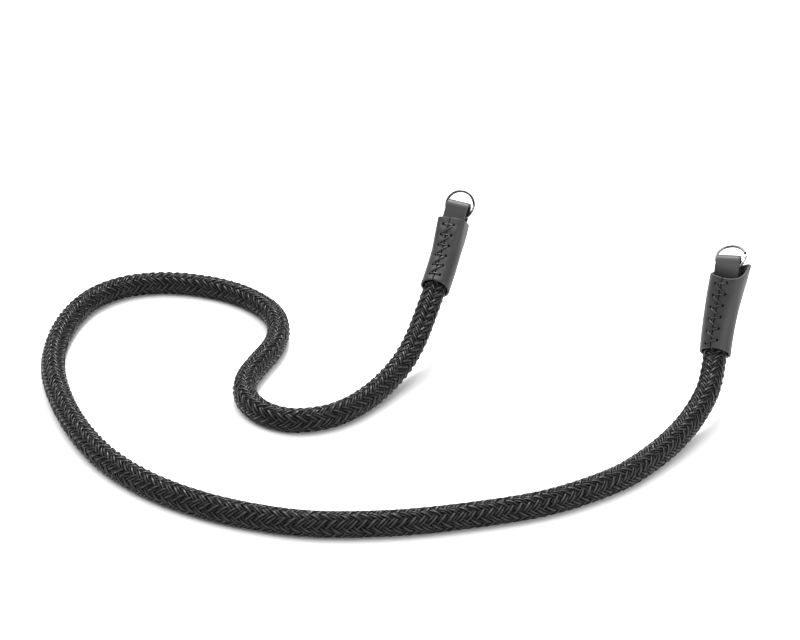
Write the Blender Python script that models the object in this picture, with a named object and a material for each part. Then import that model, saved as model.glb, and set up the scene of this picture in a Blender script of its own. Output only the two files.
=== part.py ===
"""A rope strap: a black braided rope with a laced leather sleeve, a loop and a split ring at each end.

Metres, +Z up, +X from the left ring to the right ring. The origin is midway between the two points that the
rings hang from. The rope lies on a level surface FLOOR_DROP below, and rises at each end into its sleeve.
"""

import math

import bmesh
import bpy
from mathutils import Matrix, Vector

# Rope
ROPE_D = 0.0113
FLOOR_DROP = 0.0711
ROPE_STEP = 1.25 * ROPE_D
ROPE_STEP_IN_SLEEVE = 0.005
ROPE_ROUNDNESS = 4

# The rope's route from the left sleeve to the right one: x, y, and the lift above where it lies
ROPE_ROUTE = (
    (-0.0716, -0.0505, 0.0190),
    (-0.0708, -0.0645, 0.0115),
    (-0.0712, -0.0782, 0.0060),
    (-0.0732, -0.0924, 0.0022),
    (-0.0759, -0.1075, 0.0005),
    (-0.0803, -0.1226, 0.0),
    (-0.0877, -0.1352, 0.0),
    (-0.1010, -0.1443, 0.0),
    (-0.1165, -0.1438, 0.0),
    (-0.1300, -0.1352, 0.0),
    (-0.1378, -0.1204, 0.0),
    (-0.1403, -0.1030, 0.0),
    (-0.1416, -0.0859, 0.0),
    (-0.1459, -0.0705, 0.0),
    (-0.1560, -0.0550, 0.0),
    (-0.1705, -0.0452, 0.0),
    (-0.1890, -0.0400, 0.0),
    (-0.2098, -0.0408, 0.0),
    (-0.2300, -0.0476, 0.0),
    (-0.2449, -0.0603, 0.0),
    (-0.2528, -0.0790, 0.0),
    (-0.2523, -0.1003, 0.0),
    (-0.2440, -0.1280, 0.0),
    (-0.2295, -0.1543, 0.0),
    (-0.2075, -0.1793, 0.0),
    (-0.1833, -0.1997, 0.0),
    (-0.1594, -0.2140, 0.0),
    (-0.1315, -0.2233, 0.0),
    (-0.1036, -0.2263, 0.0),
    (-0.0785, -0.2245, 0.0),
    (-0.0531, -0.2184, 0.0),
    (-0.0216, -0.2025, 0.0),
    (0.0079, -0.1811, 0.0),
    (0.0368, -0.1547, 0.0),
    (0.0582, -0.1229, 0.0),
    (0.0650, -0.1063, 0.0004),
    (0.0703, -0.0895, 0.0015),
    (0.0739, -0.0750, 0.0034),
    (0.0762, -0.0612, 0.0063),
    (0.0775, -0.0455, 0.0120),
)

# Leather sleeve
SLEEVE_L = 0.040
SLEEVE_WALL = 0.0012
SLEEVE_BEND = math.radians(24)
BORE_PLAY = 0.0009
SQUARE_L = 0.020
NECKING_L = 0.0085
RIM_SHARPNESS = 3.0
SEAM_GAP = 0.0005

# Lacing holes, in pairs beside the seam
HOLE_D = 0.0016
HOLE_PAIRS = 6
HOLE_PITCH = 0.0062
HOLE_SPREAD = 0.0055

# Leather loop
TAB_W = 0.0119
TAB_T = 0.0014
TAB_GAP = 0.0044
TAB_RISE = 0.0109
TAB_LEG = 0.0070
TAB_BEND_L = 0.0040
TAB_EDGE_R = 0.0003

# Split ring, two turns of flattened wire
RING_BORE = 0.0134
RING_WIRE_W = 0.0013
RING_WIRE_T = 0.00075
RING_TURN_GAP = 0.00015
RING_TURN = math.radians(4)
RING_STEP = math.radians(10)
RING_CROSSING = math.radians(50)

# Air left between pieces that touch
CLEAR = 0.0003

# Where each end hangs: the middle of the sleeve's mouth, the way it faces, and how far its top leans back
# and to the right. Then the side towards which the sleeve bends, and how far the loop turns to the left and
# leans back above it. Then the room in the mouth beside the loop, the mouth's squareness, how far the rim
# rises and where, how far the hem is drawn up at the seam, where the seam sits, how far down its first holes
# are, and how far its left holes sit below its right ones. Last, how the ring sits in the loop: how far to
# the right its middle lies, how far behind the loop's middle its lowest wire is, how far under the fold, and
# how far its top tips back. Angles are in degrees, and those of places round the sleeve count from its front
# towards the right.
ENDS = {
    "left": {
        "mouth": (-0.0757, -0.0058, -0.0123), "facing": 3.0, "lean": 38.4, "side_lean": -2.2,
        "bend_side": 0.0, "loop_turn": -5.0, "loop_lean": 0.0,
        "side_room": 0.0003, "squareness": 4.0, "rim_rise": 0.0, "rim_high": 130.0, "hem_dip": 0.0006,
        "seam": -1.0, "first_hole": 0.0044, "skew": 0.0,
        "ring_side": 0.0005, "ring_back": 0.0007, "ring_drop": 0.0093, "ring_tip": -6.0,
    },
    "right": {
        "mouth": (0.0726, -0.0072, -0.0104), "facing": -3.0, "lean": 19.0, "side_lean": 3.0,
        "bend_side": 37.0, "loop_turn": 14.0, "loop_lean": 24.0,
        "side_room": 0.0009, "squareness": 2.8, "rim_rise": 0.0082, "rim_high": 122.0, "hem_dip": 0.0026,
        "seam": -7.5, "first_hole": 0.0030, "skew": 0.0020,
        "ring_side": 0.0005, "ring_back": -0.0008, "ring_drop": 0.0070, "ring_tip": 22.0,
    },
}

# Sizes worked out from those above
ROPE_R = ROPE_D / 2
ROPE_REST = ROPE_R - FLOOR_DROP
SLEEVE_R = ROPE_R + BORE_PLAY + SLEEVE_WALL
TAB_HALF_DEPTH = TAB_GAP / 2 + TAB_T
ROPE_START = NECKING_L
RING_R = RING_BORE / 2 + RING_WIRE_W / 2

SLEEVE_STATIONS = 12
SECTION_POINTS = 36


def clear_scene():
    for obj in list(bpy.data.objects):
        bpy.data.objects.remove(obj)


def material(name, colour, roughness, metallic=0.0):
    made = bpy.data.materials.new(name)
    made.use_nodes = True
    shader = made.node_tree.nodes["Principled BSDF"]
    shader.inputs["Base Color"].default_value = (*colour, 1.0)
    shader.inputs["Roughness"].default_value = roughness
    shader.inputs["Metallic"].default_value = metallic
    made.diffuse_color = (*colour, 1.0)
    return made


def mesh_object(name, mesh_data, parent, finish):
    """A mesh object from a bmesh, smooth but for its real edges, on its end's empty."""
    mesh = bpy.data.meshes.new(name)
    bmesh.ops.recalc_face_normals(mesh_data, faces=mesh_data.faces)
    mesh_data.to_mesh(mesh)
    mesh_data.free()
    mesh.shade_smooth()
    mesh.set_sharp_from_angle(angle=math.radians(40))
    obj = bpy.data.objects.new(name, mesh)
    bpy.context.scene.collection.objects.link(obj)
    obj.parent = parent
    if finish:
        obj.data.materials.append(finish)
    return obj


def end_empty(side, end):
    """The empty that holds one end: +X across the loop, +Y to its back, +Z up out of the sleeve's mouth."""
    turn = (
        Matrix.Rotation(math.radians(end["facing"]), 4, "Z")
        @ Matrix.Rotation(math.radians(-end["lean"]), 4, "X")
        @ Matrix.Rotation(math.radians(end["side_lean"]), 4, "Y")
    )
    empty = bpy.data.objects.new("end_" + side, None)
    bpy.context.scene.collection.objects.link(empty)
    empty.matrix_world = Matrix.Translation(end["mouth"]) @ turn
    return empty


def place_in_end(end, down, across=0.0, back=0.0):
    """A point of the end's own frame, at a distance down the sleeve's bent centre line from its mouth.

    Above the mouth, where down is negative, the line is straight.
    """
    bend_radius = SLEEVE_L / SLEEVE_BEND
    angle = max(0.0, down) / bend_radius
    side = math.radians(end["bend_side"])
    outward = Vector((math.sin(side), -math.cos(side), 0.0))
    sideways = Vector((math.cos(side), math.sin(side), 0.0))
    offset = Vector((across, back, 0.0))
    reach = offset.dot(outward)
    drop = bend_radius * math.sin(angle) - reach * math.sin(angle) - max(0.0, -down)
    out = bend_radius * (1 - math.cos(angle)) + reach * math.cos(angle)
    return outward * out + sideways * offset.dot(sideways) - Vector((0.0, 0.0, drop))


def ease(share):
    share = min(1.0, max(0.0, share))
    return share * share * (3 - 2 * share)


def place_in_loop(end, down, across=0.0, back=0.0):
    """A point of the end's own frame on the loop, whose line turns and leans as it rises out of the mouth."""
    full_turn = math.radians(end["loop_turn"])
    climbed = min(TAB_LEG, TAB_LEG - down)
    above = max(0.0, -down)
    turn = full_turn * climbed / TAB_LEG
    left = climbed * math.sin(turn / 2) + above * math.sin(full_turn) - across * math.cos(turn)
    up = climbed * math.cos(turn / 2) + above * math.cos(full_turn) + across * math.sin(turn)
    full_lean = math.radians(end["loop_lean"])
    bent = min(TAB_BEND_L, max(0.0, up - TAB_LEG))
    beyond = max(0.0, up - TAB_LEG - TAB_BEND_L)
    lean = full_lean * bent / TAB_BEND_L
    rise = bent * math.cos(lean / 2) + beyond * math.cos(full_lean) - back * math.sin(lean)
    behind = bent * math.sin(lean / 2) + beyond * math.sin(full_lean) + back * math.cos(lean)
    return place_in_end(end, TAB_LEG - min(up, TAB_LEG) - rise, -left, behind)


def mouth_half_size(end):
    """Half the mouth's width, with room beside the loop, and half its depth, with room for its corners."""
    swept = TAB_W / 2 + TAB_LEG * math.sin(math.radians(abs(end["loop_turn"])) / 2)
    half_bore = swept + end["side_room"]
    corner = (swept + CLEAR) / (half_bore + CLEAR)
    room = (1 - corner ** end["squareness"]) ** (1 / end["squareness"])
    set_back = TAB_BEND_L * math.sin(math.radians(end["loop_lean"]) / 2)
    return half_bore + SLEEVE_WALL, (TAB_HALF_DEPTH + set_back + CLEAR) / room + SLEEVE_WALL


def sleeve_section(end, down):
    """Half width, half depth and squareness of the sleeve's outside at a distance below its mouth."""
    width_share = (ease(down / SLEEVE_L) + 2 * min(1.0, max(0.0, down / SLEEVE_L))) / 3
    mouth_width, mouth_depth = mouth_half_size(end)
    half_width = mouth_width + (SLEEVE_R - mouth_width) * width_share
    half_depth = mouth_depth + (SLEEVE_R - mouth_depth) * ease(down / NECKING_L)
    squareness = end["squareness"] + (2.0 - end["squareness"]) * ease(down / SQUARE_L)
    return half_width, half_depth, squareness


def rim_at(end, angle):
    """How far the rim lies below the mouth's middle at an angle round the sleeve, negative where it rises."""
    near = 0.5 + 0.5 * math.cos(angle - math.radians(end["rim_high"]))
    return -end["rim_rise"] * near**RIM_SHARPNESS


def hem_at(end, angle):
    """How far below the middle of the mouth the hem lies, drawn up where the seam pulls it."""
    return SLEEVE_L - end["hem_dip"] * (0.5 + 0.5 * math.cos(angle - math.radians(end["seam"])))


def section_point(half_width, half_depth, squareness, angle):
    """A point on the sleeve's rounded section, at an angle from its front towards the right."""
    across, front = math.sin(angle), math.cos(angle)
    corner = abs(across / half_width) ** squareness + abs(front / half_depth) ** squareness
    reach = corner ** (-1 / squareness)
    return across * reach, -front * reach


def make_sleeve(side, end, empty, finish):
    """Leather wrapped round the rope's end, its edges meeting at a seam, with two rows of punched holes."""
    mesh = bmesh.new()
    seam = math.radians(end["seam"])
    half_gap = SEAM_GAP / 2 / SLEEVE_R
    layers = {"outer": [], "inner": []}
    for station in range(SLEEVE_STATIONS + 1):
        share = station / SLEEVE_STATIONS
        rows = {"outer": [], "inner": []}
        for step in range(SECTION_POINTS + 1):
            angle = seam + half_gap + (2 * math.pi - 2 * half_gap) * step / SECTION_POINTS
            rim = rim_at(end, angle)
            down = rim + (hem_at(end, angle) - rim) * share
            half_width, half_depth, squareness = sleeve_section(end, down)
            for layer, inset in (("outer", 0.0), ("inner", SLEEVE_WALL)):
                across, back = section_point(half_width - inset, half_depth - inset, squareness, angle)
                rows[layer].append(mesh.verts.new(place_in_end(end, down, across, back)))
        for layer in layers:
            layers[layer].append(rows[layer])
    outer, inner = layers["outer"], layers["inner"]
    for i in range(SLEEVE_STATIONS):
        for j in range(SECTION_POINTS):
            mesh.faces.new((outer[i][j], outer[i][j + 1], outer[i + 1][j + 1], outer[i + 1][j]))
            mesh.faces.new((inner[i][j], inner[i + 1][j], inner[i + 1][j + 1], inner[i][j + 1]))
        for j in (0, SECTION_POINTS):
            mesh.faces.new((outer[i][j], outer[i + 1][j], inner[i + 1][j], inner[i][j]))
    for i in (0, SLEEVE_STATIONS):
        for j in range(SECTION_POINTS):
            mesh.faces.new((outer[i][j], inner[i][j], inner[i][j + 1], outer[i][j + 1]))
    sleeve = mesh_object("sleeve_" + side, mesh, empty, finish)
    punch = make_hole_punch(side, end, empty)
    cut = sleeve.modifiers.new("Lacing holes", "BOOLEAN")
    cut.operation = "DIFFERENCE"
    cut.object = punch
    return sleeve


def angle_beside_seam(end, down, reach):
    """The angle round the sleeve at a distance from its seam, measured along the leather."""
    section = sleeve_section(end, down)
    angle = math.radians(end["seam"])
    spot = Vector(section_point(*section, angle))
    left = abs(reach)
    while left > 0.0:
        angle += math.copysign(math.radians(1), reach)
        after = Vector(section_point(*section, angle))
        left -= (after - spot).length
        spot = after
    return angle


def make_hole_punch(side, end, empty):
    """The pins that cut the lacing holes through the sleeve's wall, square to its surface."""
    mesh = bmesh.new()
    for pair in range(HOLE_PAIRS):
        for hand in (-1, 1):
            down = end["first_hole"] + pair * HOLE_PITCH - hand * end["skew"] / 2
            half_width, half_depth, squareness = sleeve_section(end, down)
            angle = angle_beside_seam(end, down, hand * HOLE_SPREAD / 2)
            inside = section_point(
                half_width - 2 * SLEEVE_WALL, half_depth - 2 * SLEEVE_WALL, squareness, angle
            )
            outside = section_point(half_width + SLEEVE_WALL, half_depth + SLEEVE_WALL, squareness, angle)
            start, stop = place_in_end(end, down, *inside), place_in_end(end, down, *outside)
            along = stop - start
            pose = Matrix.Translation((start + stop) / 2) @ along.to_track_quat("Z", "Y").to_matrix().to_4x4()
            bmesh.ops.create_cone(
                mesh, cap_ends=True, segments=8, radius1=HOLE_D / 2, radius2=HOLE_D / 2, depth=along.length,
                matrix=pose,
            )
    punch = mesh_object("punch_" + side, mesh, empty, None)
    punch.hide_render = True
    punch.display_type = "WIRE"
    return punch


def loop_profile():
    """The loop's centre line as (down, back) pairs: up the front leg, over the fold, down the back leg."""
    middle = TAB_GAP / 2 + TAB_T / 2
    fold_down = -(TAB_RISE - TAB_HALF_DEPTH)
    leg = [TAB_LEG, TAB_LEG * 0.66, TAB_LEG * 0.33, 0.0, fold_down / 2]
    line = [(down, -middle) for down in leg]
    steps = 12
    for i in range(steps + 1):
        angle = math.pi * i / steps
        line.append((fold_down - middle * math.sin(angle), -middle * math.cos(angle)))
    return line + [(down, middle) for down in reversed(leg)]


def make_tab(side, end, empty, finish):
    """A leather strip folded into a loop, with both legs down inside the sleeve's mouth."""
    mesh = bmesh.new()
    line = loop_profile()
    rows = []
    for i, (down, back) in enumerate(line):
        before, after = Vector(line[max(0, i - 1)]), Vector(line[min(len(line) - 1, i + 1)])
        along = (after - before).normalized()
        outward = Vector((along.y, -along.x)) * TAB_T / 2
        row = []
        for hand, across in ((1, -1), (1, 1), (-1, 1), (-1, -1)):
            spot = Vector((down, back)) + hand * outward
            row.append(mesh.verts.new(place_in_loop(end, spot.x, across * TAB_W / 2, spot.y)))
        rows.append(row)
    for i in range(len(rows) - 1):
        for j in range(4):
            k = (j + 1) % 4
            mesh.faces.new((rows[i][j], rows[i][k], rows[i + 1][k], rows[i + 1][j]))
    mesh.faces.new(rows[0][::-1])
    mesh.faces.new(rows[-1])
    tab = mesh_object("tab_" + side, mesh, empty, finish)
    edge = tab.modifiers.new("Cut edges", "BEVEL")
    edge.width = TAB_EDGE_R
    edge.segments = 1
    edge.limit_method = "ANGLE"
    edge.angle_limit = math.radians(60)
    return tab


def make_ring(side, end, empty, finish):
    """A split ring: flattened wire twice round, stepping from one turn to the next where it crosses."""
    mesh = bmesh.new()
    lift = (RING_WIRE_T + RING_TURN_GAP) / 2
    first = RING_CROSSING / 2
    last = 4 * math.pi - RING_CROSSING / 2
    count = round((last - first) / RING_STEP)
    half_w, half_t = RING_WIRE_W / 2, RING_WIRE_T / 2
    soft_w, soft_t = half_w * 0.6, half_t * 0.5
    outline = (
        (-half_w, -soft_t), (-soft_w, -half_t), (soft_w, -half_t), (half_w, -soft_t),
        (half_w, soft_t), (soft_w, half_t), (-soft_w, half_t), (-half_w, soft_t),
    )
    tip = math.radians(end["ring_tip"])
    centre_down = end["ring_drop"] - TAB_RISE - RING_R * math.cos(tip)
    centre = place_in_loop(end, centre_down, end["ring_side"], end["ring_back"] + RING_R * math.sin(tip))
    pose = (
        Matrix.Translation(centre)
        @ Matrix.Rotation(math.radians(-end["loop_turn"]), 4, "Y")
        @ Matrix.Rotation(math.radians(-end["loop_lean"]), 4, "X")
        @ Matrix.Rotation(RING_TURN, 4, "Z")
        @ Matrix.Rotation(-tip, 4, "X")
    )
    rows = []
    for i in range(count + 1):
        angle = first + (last - first) * i / count
        step = ease((angle - 2 * math.pi + RING_CROSSING / 2) / RING_CROSSING)
        shift = -lift + 2 * lift * step
        outward = Vector((math.cos(angle), 0.0, math.sin(angle)))
        row = []
        for radial, axial in outline:
            spot = outward * (RING_R + radial) + Vector((0.0, shift + axial, 0.0))
            row.append(mesh.verts.new(pose @ spot))
        rows.append(row)
    sides = len(outline)
    for i in range(count):
        for j in range(sides):
            k = (j + 1) % sides
            mesh.faces.new((rows[i][j], rows[i][k], rows[i + 1][k], rows[i + 1][j]))
    mesh.faces.new(rows[0][::-1])
    mesh.faces.new(rows[-1])
    return mesh_object("ring_" + side, mesh, empty, finish)


def smooth_line(points, per_span):
    """A centripetal Catmull-Rom curve through the points."""
    first = points[0] * 2 - points[1]
    last = points[-1] * 2 - points[-2]
    chain = [first, *points, last]
    line = []
    for a, b, c, d in zip(chain, chain[1:], chain[2:], chain[3:]):
        t1 = math.sqrt((b - a).length)
        t2 = t1 + math.sqrt((c - b).length)
        t3 = t2 + math.sqrt((d - c).length)
        for i in range(per_span):
            t = t1 + (t2 - t1) * i / per_span
            ab = a.lerp(b, t / t1)
            bc = b.lerp(c, (t - t1) / (t2 - t1))
            cd = c.lerp(d, (t - t2) / (t3 - t2))
            abc = ab.lerp(bc, t / t2)
            bcd = bc.lerp(cd, (t - t1) / (t3 - t1))
            line.append(abc.lerp(bcd, (t - t1) / (t2 - t1)))
    return line + [points[-1]]


def even_steps(line, step):
    """Points at even spacing along a fine line, both ends kept."""
    reach = [0.0]
    for a, b in zip(line, line[1:]):
        reach.append(reach[-1] + (b - a).length)
    count = max(2, round(reach[-1] / step))
    points, at = [], 0
    for i in range(count + 1):
        goal = reach[-1] * i / count
        while at < len(line) - 2 and reach[at + 1] < goal:
            at += 1
        points.append(line[at].lerp(line[at + 1], (goal - reach[at]) / (reach[at + 1] - reach[at])))
    return points


def rope_line(empties):
    """The rope's points: down the left sleeve, along the route and up the right sleeve."""
    count = math.ceil((SLEEVE_L - ROPE_START) / ROPE_STEP_IN_SLEEVE)
    downs = [ROPE_START + (SLEEVE_L - ROPE_START) * i / count for i in range(count + 1)]
    inside = {}
    for side, empty in empties.items():
        inside[side] = [empty.matrix_world @ place_in_end(ENDS[side], down) for down in downs]
    route = [Vector((x, y, ROPE_REST + lift)) for x, y, lift in ROPE_ROUTE]
    chain = inside["left"] + route + inside["right"][::-1]
    per_span = 24
    fine = smooth_line(chain, per_span)
    first = count * per_span
    last = len(fine) - 1 - count * per_span
    middle = even_steps(fine[first : last + 1], ROPE_STEP)
    return inside["left"][:-1] + middle + inside["right"][-2::-1]


def make_rope(empties, finish):
    """The braided rope's plain round body."""
    curve = bpy.data.curves.new("rope", "CURVE")
    curve.dimensions = "3D"
    curve.bevel_depth = ROPE_R
    curve.bevel_resolution = ROPE_ROUNDNESS
    curve.use_fill_caps = True
    curve.twist_mode = "MINIMUM"
    points = rope_line(empties)
    spline = curve.splines.new("POLY")
    spline.points.add(len(points) - 1)
    for spot, point in zip(points, spline.points):
        point.co = (*spot, 1.0)
    rope = bpy.data.objects.new("rope", curve)
    bpy.context.scene.collection.objects.link(rope)
    rope.data.materials.append(finish)
    return rope


def main():
    clear_scene()
    braid = material("braided_rope", (0.020, 0.020, 0.022), 0.55)
    leather = material("strap_leather", (0.045, 0.045, 0.046), 0.50)
    steel = material("polished_steel", (0.80, 0.80, 0.81), 0.15, metallic=1.0)
    empties = {}
    for side, end in ENDS.items():
        empty = end_empty(side, end)
        empties[side] = empty
        make_sleeve(side, end, empty, leather)
        make_tab(side, end, empty, leather)
        make_ring(side, end, empty, steel)
    bpy.context.view_layer.update()
    make_rope(empties, braid)


main()
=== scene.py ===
"""The looks of a black braided rope strap: braid, laced leather sleeves, loops, split rings and stage."""

import math

import bmesh
import bpy
from mathutils import Matrix, Vector


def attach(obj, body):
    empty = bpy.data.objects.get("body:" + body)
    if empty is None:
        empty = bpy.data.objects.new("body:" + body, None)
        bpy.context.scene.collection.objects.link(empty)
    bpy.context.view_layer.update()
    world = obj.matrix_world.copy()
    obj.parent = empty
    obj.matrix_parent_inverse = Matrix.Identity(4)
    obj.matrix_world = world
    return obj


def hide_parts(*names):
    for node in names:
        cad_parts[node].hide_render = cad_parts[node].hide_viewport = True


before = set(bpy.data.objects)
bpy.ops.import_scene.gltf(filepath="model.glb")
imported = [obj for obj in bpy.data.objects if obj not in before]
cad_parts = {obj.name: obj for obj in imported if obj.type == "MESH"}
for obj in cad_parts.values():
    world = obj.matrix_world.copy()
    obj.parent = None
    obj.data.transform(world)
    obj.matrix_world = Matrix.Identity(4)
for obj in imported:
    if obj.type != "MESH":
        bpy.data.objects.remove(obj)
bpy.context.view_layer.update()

bl_info = {
    "name": "Rope Strap Looks",
    "version": (1, 0, 0),
    "blender": (4, 5, 0),
    "location": "3D View > Sidebar > Rope Strap",
    "description": "Dresses a braided rope strap with laced leather ends",
    "category": "Object",
}

BODY = "root"

# Rope
ROPE_D = 0.0113
FLOOR_DROP = 0.0711

# The rope's route from the left sleeve to the right one: x, y, and the lift above where it lies
ROPE_ROUTE = (
    (-0.0716, -0.0505, 0.0190),
    (-0.0708, -0.0645, 0.0115),
    (-0.0712, -0.0782, 0.0060),
    (-0.0732, -0.0924, 0.0022),
    (-0.0759, -0.1075, 0.0005),
    (-0.0803, -0.1226, 0.0),
    (-0.0877, -0.1352, 0.0),
    (-0.1010, -0.1443, 0.0),
    (-0.1165, -0.1438, 0.0),
    (-0.1300, -0.1352, 0.0),
    (-0.1378, -0.1204, 0.0),
    (-0.1403, -0.1030, 0.0),
    (-0.1416, -0.0859, 0.0),
    (-0.1459, -0.0705, 0.0),
    (-0.1560, -0.0550, 0.0),
    (-0.1705, -0.0452, 0.0),
    (-0.1890, -0.0400, 0.0),
    (-0.2098, -0.0408, 0.0),
    (-0.2300, -0.0476, 0.0),
    (-0.2449, -0.0603, 0.0),
    (-0.2528, -0.0790, 0.0),
    (-0.2523, -0.1003, 0.0),
    (-0.2440, -0.1280, 0.0),
    (-0.2295, -0.1543, 0.0),
    (-0.2075, -0.1793, 0.0),
    (-0.1833, -0.1997, 0.0),
    (-0.1594, -0.2140, 0.0),
    (-0.1315, -0.2233, 0.0),
    (-0.1036, -0.2263, 0.0),
    (-0.0785, -0.2245, 0.0),
    (-0.0531, -0.2184, 0.0),
    (-0.0216, -0.2025, 0.0),
    (0.0079, -0.1811, 0.0),
    (0.0368, -0.1547, 0.0),
    (0.0582, -0.1229, 0.0),
    (0.0650, -0.1063, 0.0004),
    (0.0703, -0.0895, 0.0015),
    (0.0739, -0.0750, 0.0034),
    (0.0762, -0.0612, 0.0063),
    (0.0775, -0.0455, 0.0120),
)

# How far a strand's crown stands out of the rope's plain round body, so that both measure the same across
STRAND_PROUD = 0.0006

# How deep the core reaches into the strands, as a share of half their thickness
CORE_OVERLAP = 0.2

# Braid: strands that wind each way, points along one strand, corners round it and round the core
STRANDS_EACH_WAY = 10
STRAND_POINTS = 600
STRAND_CORNERS = 8
CORE_CORNERS = 10

# Sets the numbers of the strands that wind one way apart from those of the others
NUMBER_OFFSET = 20.0

# Leather sleeve
SLEEVE_L = 0.040
SLEEVE_WALL = 0.0012
SLEEVE_BEND = math.radians(24)
BORE_PLAY = 0.0009
SQUARE_L = 0.020
NECKING_L = 0.0085
RIM_SHARPNESS = 3.0
SEAM_GAP = 0.0005
LEATHER_EDGE_R = 0.00035
PUCKER_REACH = 0.0013

# Lacing holes, in pairs beside the seam
HOLE_D = 0.0016
HOLE_PAIRS = 6
HOLE_PITCH = 0.0062
HOLE_SPREAD = 0.0055

# Lacing: how deep a stitch's ends go, as a share of the leather's wall, and how far inside the holes' middles
# it comes out, as a share of their width. In thread radii, how far its middle line lies below the leather's
# face there and how high a slanting stitch rides on a level one. Then the corners round the thread
STITCH_DEPTH = 1.3
STITCH_SHY = 0.32
STITCH_SUNK = 0.6
STITCH_RIDE = 0.8
THREAD_CORNERS = 10

# Leather loop
TAB_W = 0.0119
TAB_T = 0.0014
TAB_GAP = 0.0044
TAB_RISE = 0.0109
TAB_LEG = 0.0070
TAB_BEND_L = 0.0040

# Split ring, two turns of flattened wire
RING_BORE = 0.0134
RING_WIRE_W = 0.0013
RING_WIRE_T = 0.00075
RING_TURN_GAP = 0.00015
RING_TURN = math.radians(4)
RING_CROSSING = math.radians(50)
RING_ROUNDING = 0.6

# Air left between pieces that touch
CLEAR = 0.0003

# Where each end hangs: the middle of the sleeve's mouth, the way it faces, and how far its top leans back
# and to the right. Then the side towards which the sleeve bends, and how far the loop turns to the left and
# leans back above it. Then the room in the mouth beside the loop, the mouth's squareness, how far the rim
# rises and where, how far the hem is drawn up at the seam, where the seam sits, how far down its first holes
# are, and how far its left holes sit below its right ones. Then how the ring sits in the loop: how far to
# the right its middle lies, how far behind the loop's middle its lowest wire is, how far under the fold, and
# how far its top tips back. Last, whether the slanting stitches start at the right holes, 1, or at the left
# ones, -1. Angles are in degrees, and those of places round the sleeve count from its front towards the
# right.
ENDS = {
    "left": {
        "mouth": (-0.0757, -0.0058, -0.0123), "facing": 3.0, "lean": 38.4, "side_lean": -2.2,
        "bend_side": 0.0, "loop_turn": -5.0, "loop_lean": 0.0,
        "side_room": 0.0003, "squareness": 4.0, "rim_rise": 0.0, "rim_high": 130.0, "hem_dip": 0.0006,
        "seam": -1.0, "first_hole": 0.0044, "skew": 0.0,
        "ring_side": 0.0005, "ring_back": 0.0007, "ring_drop": 0.0093, "ring_tip": -6.0,
        "lacing_hand": 1,
    },
    "right": {
        "mouth": (0.0726, -0.0072, -0.0104), "facing": -3.0, "lean": 19.0, "side_lean": 3.0,
        "bend_side": 37.0, "loop_turn": 14.0, "loop_lean": 24.0,
        "side_room": 0.0009, "squareness": 2.8, "rim_rise": 0.0082, "rim_high": 122.0, "hem_dip": 0.0026,
        "seam": -7.5, "first_hole": 0.0030, "skew": 0.0020,
        "ring_side": 0.0005, "ring_back": -0.0008, "ring_drop": 0.0070, "ring_tip": 22.0,
        "lacing_hand": -1,
    },
}

# Camera, at the photograph's angle
CAMERA_AT = (0.2572, -0.8371, 0.4110)
CAMERA_LENS_MM = 84.96
CAMERA_SENSOR_MM = 36.0
CAMERA_YAW = math.radians(23.54)
CAMERA_PITCH = math.radians(28.36)
CAMERA_ROLL = math.radians(1.50)

# Studio: the soft panels' names, places, widths and powers, the point that they face, then the even light
# from above, the white surround and the floor
STUDIO_PANELS = (
    ("key_light", (-0.45, 0.55, 1.0), 0.3, 18.0),
    ("side_light", (1.0, -0.42, 0.45), 0.9, 7.0),
)
PANELS_FACE = (-0.09, -0.11, -0.05)
TOP_LIGHT_FROM = (-0.25, 0.05, 1.0)
TOP_LIGHT_STRENGTH = 3.6
TOP_LIGHT_SPREAD = math.radians(75)
SURROUND_STRENGTH = 0.42
FLOOR_REACH = 6.0
FLOOR_SHADE = 0.92

# How dark and how light each finish gets, as shares of its colour. The yarn's and the thread's are painted
# shade in the hollows between their yarns and a painted highlight on the yarns' crowns; the leather's and the
# steel's follow random clouds
YARN_HOLLOW_SHADE_CROWN_HIGHLIGHT = (0.12, 3.2)
LEATHER_SHADES = (0.75, 1.3)
THREAD_HOLLOW_SHADE_CROWN_HIGHLIGHT = (0.5, 1.6)
STEEL_SHADES = (0.92, 1.0)

# Yarns side by side round a strand and round the thread, and how fast they wind, in yarns to the metre
STRAND_YARNS = 5.0
STRAND_LAY = 60.0
THREAD_YARNS = 3.0
THREAD_LAY = 900.0

# Grain of the leather and fine marks on the steel, and the clouds that they lie in, to the metre
LEATHER_GRAIN = 2400.0
LEATHER_CLOUDS = 160.0
STEEL_MARKS = 5000.0
STEEL_CLOUDS = 500.0

# Sizes worked out from those above
ROPE_R = ROPE_D / 2
ROPE_REST = ROPE_R - FLOOR_DROP
SLEEVE_R = ROPE_R + BORE_PLAY + SLEEVE_WALL
TAB_HALF_DEPTH = TAB_GAP / 2 + TAB_T
RING_R = RING_BORE / 2 + RING_WIRE_W / 2


class StrapSizes(bpy.types.PropertyGroup):
    strand_width: bpy.props.FloatProperty(
        name="Strand Width", description="Width of one flat braided strand", default=0.0029, unit="LENGTH")
    strand_thickness: bpy.props.FloatProperty(
        name="Strand Thickness", description="Thickness of one braided strand", default=0.0023, unit="LENGTH")
    braid_lead: bpy.props.FloatProperty(
        name="Braid Lead", description="Length of rope in which a strand goes once round", default=0.044,
        unit="LENGTH")
    braid_swell: bpy.props.FloatProperty(
        name="Braid Swell", description="How far a strand rises and dips as it crosses the others",
        default=0.0006, unit="LENGTH")
    thread_diameter: bpy.props.FloatProperty(
        name="Thread Diameter", description="Diameter of the waxed lacing thread", default=0.0007,
        unit="LENGTH")
    pucker: bpy.props.FloatProperty(
        name="Pucker", description="How deep the lacing pulls the leather in beside each hole",
        default=0.00025, unit="LENGTH")


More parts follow.
